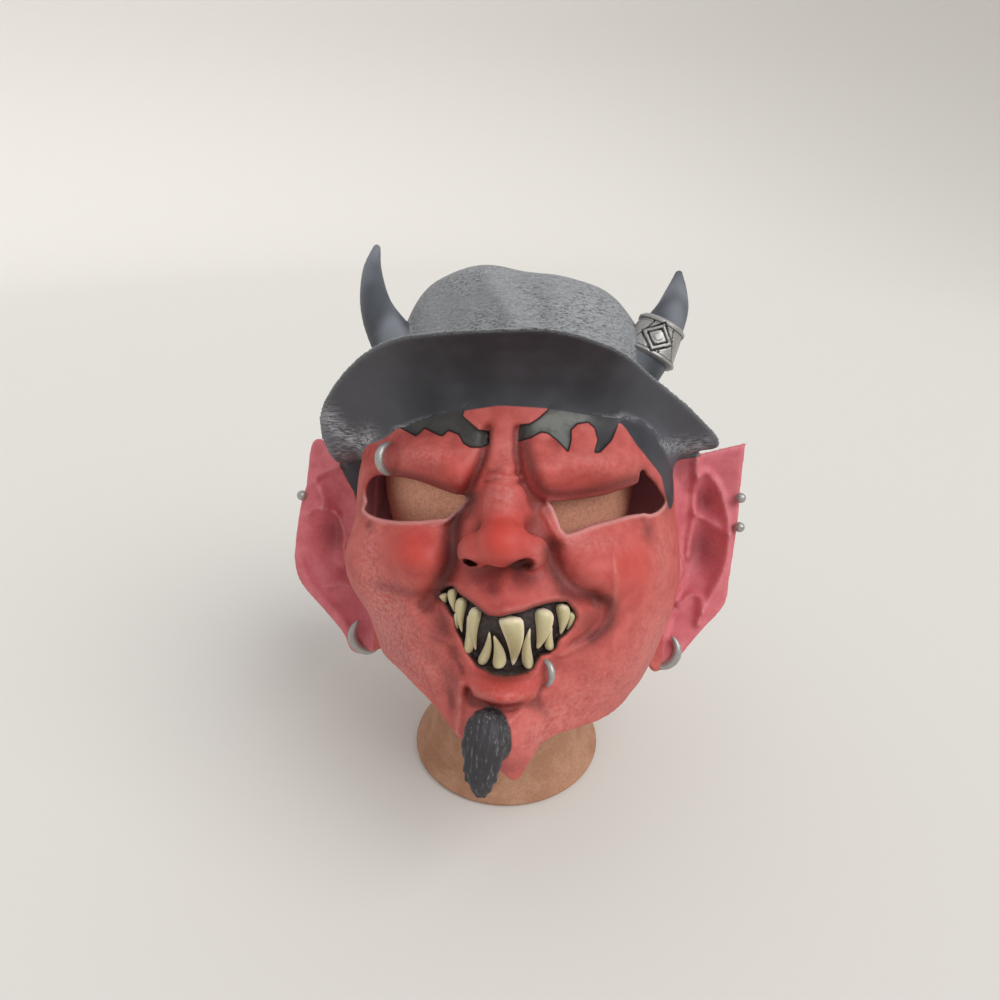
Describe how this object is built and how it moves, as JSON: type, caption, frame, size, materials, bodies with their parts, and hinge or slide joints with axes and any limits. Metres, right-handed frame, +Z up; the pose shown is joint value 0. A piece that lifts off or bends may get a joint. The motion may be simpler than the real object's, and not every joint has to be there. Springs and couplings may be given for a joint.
{
  "type": "rubber devil mask on a display head",
  "caption": "Red horned devil mask of cast latex with a slouch hat, pointed ears and a fanged grin, worn by a tan canvas display head with a round foot.",
  "frame": {"origin": "centre of the underside of the display head's round foot", "axes": "+Z up, the mask's face looks towards -Y, +X to the right as seen from the front"},
  "size_m": [0.2992, 0.2951, 0.3607],
  "materials": {
    "painted_latex": "satin",
    "tan_canvas": "matte"
  },
  "bodies": {
    "root": {"latex_mask": "painted_latex", "display_head": "tan_canvas"}
  },
  "joints": []
}
